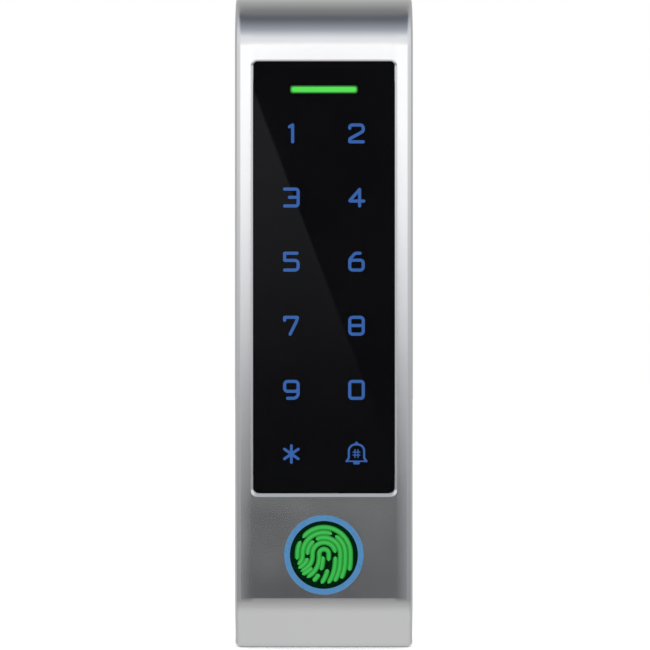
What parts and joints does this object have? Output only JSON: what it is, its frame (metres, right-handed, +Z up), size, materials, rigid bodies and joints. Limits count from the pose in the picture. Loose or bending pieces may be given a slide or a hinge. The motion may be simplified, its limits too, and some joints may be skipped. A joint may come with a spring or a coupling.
{
  "type": "fingerprint scanner terminal",
  "caption": "Narrow wall-mounted access terminal with a metal casing, a black glass touch keypad with lit keys, a status light bar and a round fingerprint sensor in a light ring.",
  "frame": {"origin": "midway between the two wall-screw holes of the back plate, on the wall plane", "axes": "+Z up along the terminal, +Y into the wall, so the front faces -Y; +X to the right seen from the front"},
  "size_m": [0.043, 0.0222, 0.158],
  "materials": {
    "casing_metal": "satin, finely brushed zinc alloy",
    "plate_steel": "zinc plated sheet",
    "panel_glass": "gloss black",
    "light_blue": "translucent, lit blue",
    "light_green": "translucent, lit green",
    "adhesive": "black foam tape",
    "diffuser": "white film",
    "copper": "copper pads",
    "board_black": "black solder mask",
    "board_green": "green solder mask",
    "led": "white package",
    "chip": "moulded black",
    "connector": "natural nylon",
    "relay_case": "moulded",
    "can": "bright can",
    "ferrite": "ferrite",
    "steel": "zinc plated screws",
    "stainless": "stainless sheet",
    "cover_plastic": "fine texture ABS",
    "rubber": "moulded silicone",
    "flat_cable": "polyimide"
  },
  "bodies": {
    "back_plate": {"back_plate": "plate_steel"},
    "housing": {"front_housing": "casing_metal", "touch_glass": "panel_glass", "glass_adhesive": "adhesive", "key_legends": "light_blue", "status_light_bar": "light_green", "diffuser_sheet": "diffuser", "touch_electrodes": "copper", "keypad_board": "board_black", "key_leds": "led", "status_leds": "led", "touch_controller": "chip", "board_link": "connector", "main_board": "board_green", "board_screws": "steel", "processor": "chip", "memory_chip": "chip", "lock_relay": "relay_case", "buzzer": "relay_case", "power_inductor": "ferrite", "power_capacitors": "can", "voltage_regulator": "chip", "harness_header": "connector", "tamper_switch": "chip", "tamper_spring": "stainless", "sensor_ring": "light_blue", "sensor_gasket": "rubber", "sensor_window": "panel_glass", "sensor_body": "relay_case", "sensor_chip": "chip", "sensor_board": "board_green", "ring_leds": "led", "sensor_clamp": "stainless", "clamp_screws": "steel", "sensor_connector": "connector", "ribbon_connector": "connector", "sensor_ribbon": "flat_cable", "rear_gasket": "rubber", "rear_cover": "cover_plastic", "cover_screws": "steel", "cable_grommet": "rubber"},
    "screw_carrier": {"screw_washer": "rubber"},
    "security_screw": {"security_screw": "stainless"},
    "tamper_plunger": {"tamper_plunger": "relay_case"}
  },
  "joints": [
    {"name": "housing_swing", "type": "hinge", "parent": "back_plate", "child": "housing", "pos_m": [0, -0.0026, 0.0758], "axis": [-1, 0, 0], "range_deg": [0, 30]},
    {"name": "screw_lift", "type": "slide", "parent": "housing", "child": "screw_carrier", "axis": [0, 0, 1], "range_m": [0, 0.002]},
    {"name": "screw_turn", "type": "hinge", "parent": "screw_carrier", "child": "security_screw", "pos_m": [0, -0.006, -0.075], "axis": [0, 0, 1], "range_deg": [0, 1441]},
    {"name": "tamper_press", "type": "slide", "parent": "housing", "child": "tamper_plunger", "axis": [0, -1, 0], "range_m": [0, 0.001], "stiffness_N_per_m": 300, "deforming": ["tamper_spring"]}
  ],
  "couplings": [
    {"joint": "screw_turn", "follows": "screw_lift", "rad_per_m": 12566}
  ]
}
